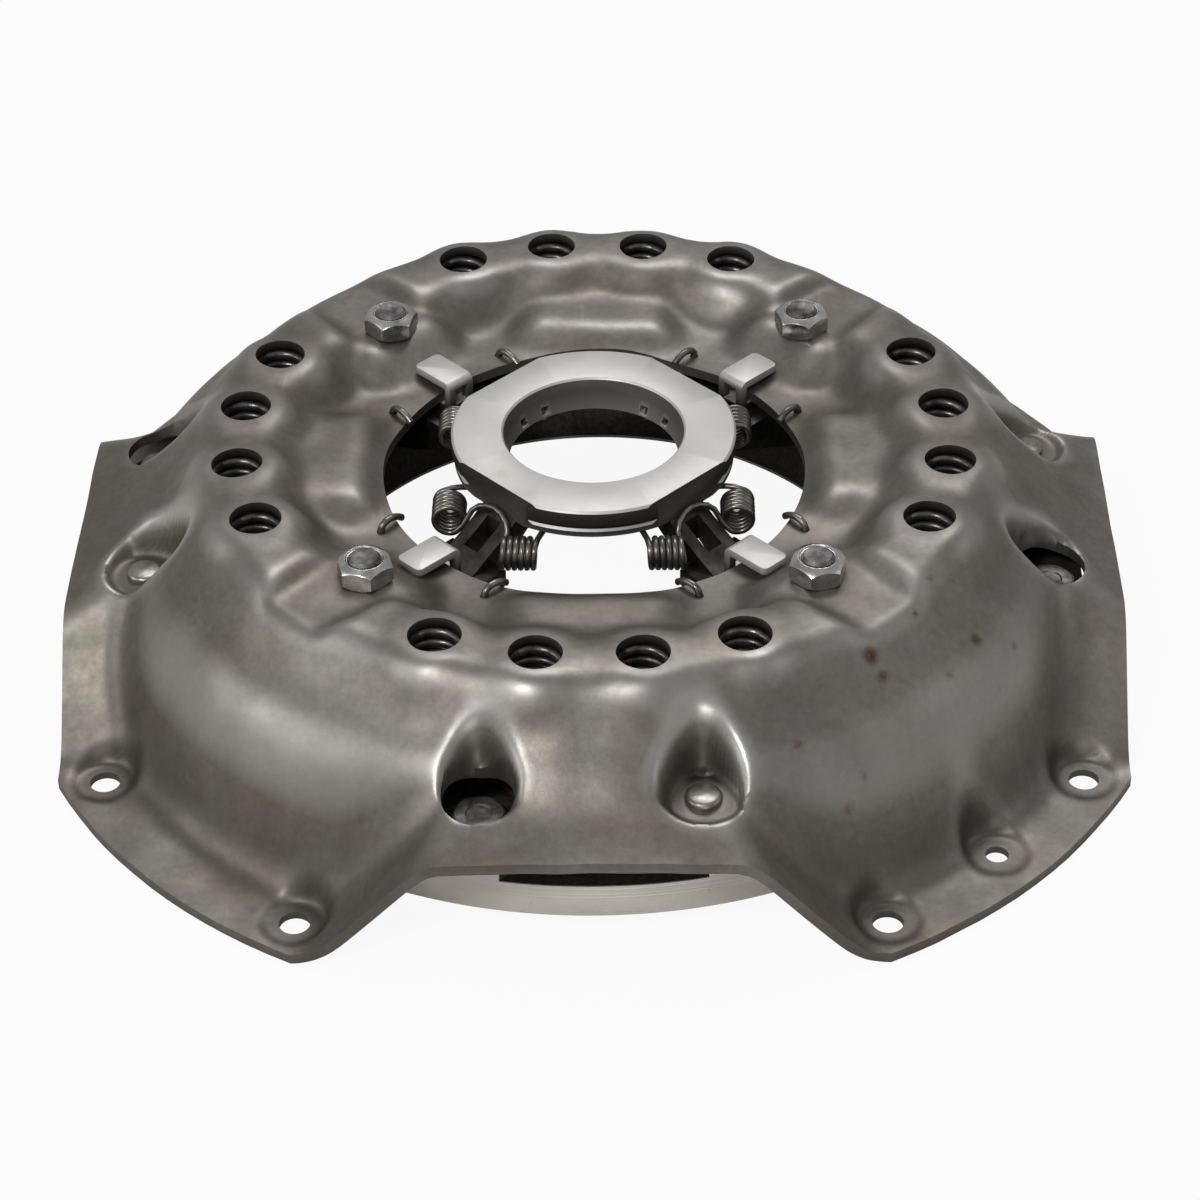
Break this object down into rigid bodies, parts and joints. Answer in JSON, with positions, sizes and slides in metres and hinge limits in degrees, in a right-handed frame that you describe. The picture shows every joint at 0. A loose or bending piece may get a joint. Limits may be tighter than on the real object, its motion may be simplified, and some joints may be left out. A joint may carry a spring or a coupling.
{
  "type": "clutch pressure plate",
  "caption": "Coil spring clutch cover assembly with a cast pressure plate, pivoting release levers, a release ring and drive straps, bolted to a flywheel",
  "frame": {"origin": "centre of the flange face that bolts to the flywheel", "axes": "+Z away from the flywheel, along the shaft; +X and +Y towards two neighbouring raised lips of the cover"},
  "size_m": [0.382, 0.382, 0.0869],
  "materials": {
    "cover_steel": "oiled bare pressed steel",
    "cast_iron": "as cast, with machined face and rim",
    "ring_steel": "ground",
    "dark_steel": "dark, oiled",
    "zinc": "bright zinc plate",
    "clip_zinc": "light matt plate",
    "washer": "pressed fibre",
    "rivet_steel": "oiled bare steel",
    "black_steel": "black phosphate",
    "forged_steel": "as forged, dark",
    "wire_steel": "drawn wire",
    "spring_steel": "dark, oiled",
    "strap_steel": "spring steel strip"
  },
  "bodies": {
    "cover_body": {"cover": "cover_steel", "eyebolts": "dark_steel", "adjusting_nuts": "zinc", "transport_clips": "clip_zinc", "strap_rivets": "rivet_steel", "coil_springs_1": "spring_steel", "coil_springs_2": "spring_steel", "coil_springs_3": "spring_steel", "coil_springs_4": "spring_steel", "drive_strap_1": "strap_steel", "drive_strap_2": "strap_steel", "drive_strap_3": "strap_steel", "drive_strap_4": "strap_steel", "hook_wires_1": "wire_steel", "hook_wires_2": "wire_steel", "hook_wires_3": "wire_steel", "hook_wires_4": "wire_steel"},
    "plate_body": {"pressure_plate": "cast_iron", "spring_washers": "washer", "strap_bolts": "black_steel"},
    "ring_body": {"release_ring": "ring_steel", "ring_spring_1": "wire_steel", "ring_spring_2": "wire_steel", "ring_spring_3": "wire_steel", "ring_spring_4": "wire_steel"},
    "lever_body_1": {"lever_1": "forged_steel", "lever_pins_1": "dark_steel"},
    "lever_body_2": {"lever_2": "forged_steel", "lever_pins_2": "dark_steel"},
    "lever_body_3": {"lever_3": "forged_steel", "lever_pins_3": "dark_steel"},
    "lever_body_4": {"lever_4": "forged_steel", "lever_pins_4": "dark_steel"}
  },
  "joints": [
    {"name": "plate_slide", "type": "slide", "parent": "cover_body", "child": "plate_body", "axis": [0, 0, 1], "range_m": [0, 0.002], "stiffness_N_per_m": 20000, "springref_m": -0.005, "deforming": ["coil_springs_1", "coil_springs_2", "coil_springs_3", "coil_springs_4", "drive_strap_1", "drive_strap_2", "drive_strap_3", "drive_strap_4"]},
    {"name": "ring_slide", "type": "slide", "parent": "cover_body", "child": "ring_body", "axis": [0, 0, 1], "range_m": [-0.0086, 0]},
    {"name": "lever_hinge_1", "type": "hinge", "parent": "cover_body", "child": "lever_body_1", "pos_m": [0.07863, 0.07863, 0.046], "axis": [0.7071, -0.7071, 0], "range_deg": [0, 7.3]},
    {"name": "lever_hinge_2", "type": "hinge", "parent": "cover_body", "child": "lever_body_2", "pos_m": [-0.07863, 0.07863, 0.046], "axis": [0.7071, 0.7071, 0], "range_deg": [0, 7.3]},
    {"name": "lever_hinge_3", "type": "hinge", "parent": "cover_body", "child": "lever_body_3", "pos_m": [-0.07863, -0.07863, 0.046], "axis": [-0.7071, 0.7071, 0], "range_deg": [0, 7.3]},
    {"name": "lever_hinge_4", "type": "hinge", "parent": "cover_body", "child": "lever_body_4", "pos_m": [0.07863, -0.07863, 0.046], "axis": [-0.7071, -0.7071, 0], "range_deg": [0, 7.3]}
  ],
  "couplings": [
    {"joint": "ring_slide", "follows": "plate_slide", "ratio": -4.215},
    {"joint": "lever_hinge_1", "follows": "plate_slide", "rad_per_m": 62.664},
    {"joint": "lever_hinge_2", "follows": "plate_slide", "rad_per_m": 62.664},
    {"joint": "lever_hinge_3", "follows": "plate_slide", "rad_per_m": 62.664},
    {"joint": "lever_hinge_4", "follows": "plate_slide", "rad_per_m": 62.664}
  ]
}
